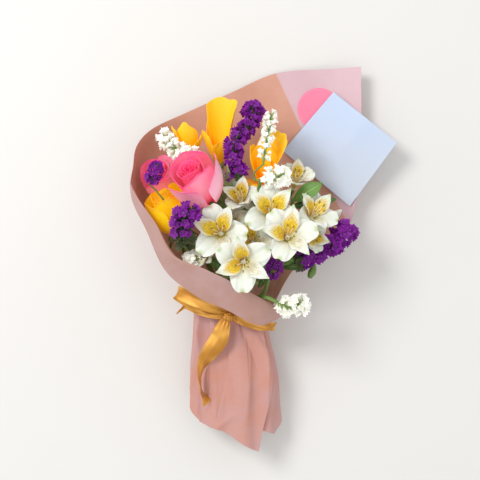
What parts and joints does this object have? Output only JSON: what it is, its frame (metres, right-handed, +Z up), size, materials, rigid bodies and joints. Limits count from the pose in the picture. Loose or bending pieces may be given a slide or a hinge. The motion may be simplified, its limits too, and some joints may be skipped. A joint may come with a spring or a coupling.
{
  "type": "wrapped mixed bouquet",
  "caption": "Mixed bouquet of roses, irises, alstroemeria and statice in gathered paper with a ribbon bow, a card and a round label, lying on its back.",
  "frame": {"origin": "on the surface under the middle of the bouquet, which lies on its back", "axes": "+Y from the cut stems to the flowers, +Z up from the surface"},
  "size_m": [0.3194, 0.469, 0.1585],
  "materials": {
    "paper": "matt wrapping paper",
    "ribbon": "satin",
    "card": "matt card",
    "label": "smooth printed paper",
    "pink_petals": "soft petal",
    "yellow_petals": "soft petal",
    "white_petals": "soft petal",
    "purple_florets": "papery florets",
    "white_florets": "papery florets",
    "green_leaves": "waxy leaf",
    "twine": "rough twine"
  },
  "bodies": {
    "root": {"wrapper_paper": "paper", "round_label": "label", "message_card": "card", "ribbon_band": "ribbon", "ribbon_bow": "ribbon", "stems_tie": "twine", "rose_pink_front_petals": "pink_petals", "rose_pink_front_stem": "green_leaves", "rose_pink_back_petals": "pink_petals", "rose_pink_back_stem": "green_leaves", "rose_yellow_petals": "yellow_petals", "rose_yellow_stem": "green_leaves", "iris_1_petals": "yellow_petals", "iris_1_stem": "green_leaves", "iris_2_petals": "yellow_petals", "iris_2_stem": "green_leaves", "iris_3_petals": "yellow_petals", "iris_3_stem": "green_leaves", "alstroemeria_bloom_1": "white_petals", "alstroemeria_bloom_2": "white_petals", "alstroemeria_bloom_3": "white_petals", "alstroemeria_bloom_4": "white_petals", "alstroemeria_bloom_5": "white_petals", "alstroemeria_bloom_6": "white_petals", "alstroemeria_bloom_7": "white_petals", "alstroemeria_bloom_8": "white_petals", "alstroemeria_bud_1": "white_petals", "alstroemeria_bud_2": "white_petals", "alstroemeria_stem_1": "green_leaves", "alstroemeria_stem_2": "green_leaves", "alstroemeria_stem_3": "green_leaves", "statice_purple_1_florets": "purple_florets", "statice_purple_1_stem": "green_leaves", "statice_purple_2_florets": "purple_florets", "statice_purple_3_florets": "purple_florets", "statice_purple_3_stem": "green_leaves", "statice_purple_4_florets": "purple_florets", "statice_purple_4_stem": "green_leaves", "statice_purple_5_florets": "purple_florets", "statice_purple_5_stem": "green_leaves", "statice_white_1_florets": "white_florets", "statice_white_1_stem": "green_leaves", "statice_white_2_florets": "white_florets", "statice_white_3_florets": "white_florets", "statice_white_3_stem": "green_leaves", "statice_white_4_florets": "white_florets", "statice_white_4_stem": "green_leaves", "statice_white_5_florets": "white_florets", "statice_white_5_stem": "green_leaves", "foliage": "green_leaves"}
  },
  "joints": []
}
